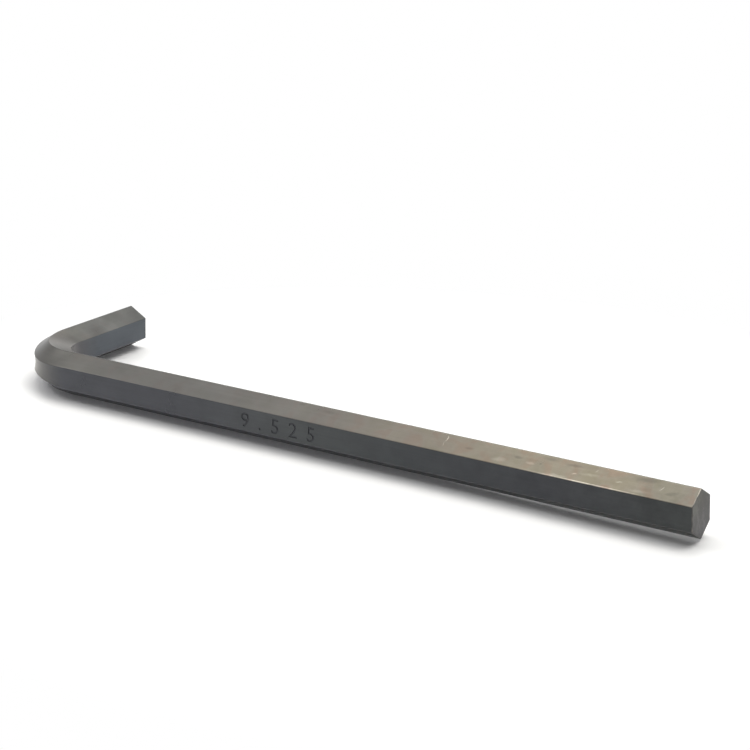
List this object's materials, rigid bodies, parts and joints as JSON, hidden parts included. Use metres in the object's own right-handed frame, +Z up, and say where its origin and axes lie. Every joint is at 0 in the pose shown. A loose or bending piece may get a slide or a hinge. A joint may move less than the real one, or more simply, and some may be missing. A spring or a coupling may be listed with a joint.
{
  "type": "hex key",
  "caption": "L-shaped hexagon key bent from solid bar, with a long and a short driving arm, in dark oxide-finished steel.",
  "frame": {"origin": "on the surface that the key lies on, at the middle of the rectangle that its two arms span", "axes": "+X along the long arm from the bend to its tip, +Y along the short arm from the bend to its tip, +Z up"},
  "size_m": [0.181, 0.0476, 0.0108],
  "materials": {
    "oxide_steel": "black oxide, handled and rubbed bright on its edges"
  },
  "bodies": {
    "root": {"hex_key": "oxide_steel"}
  },
  "joints": []
}
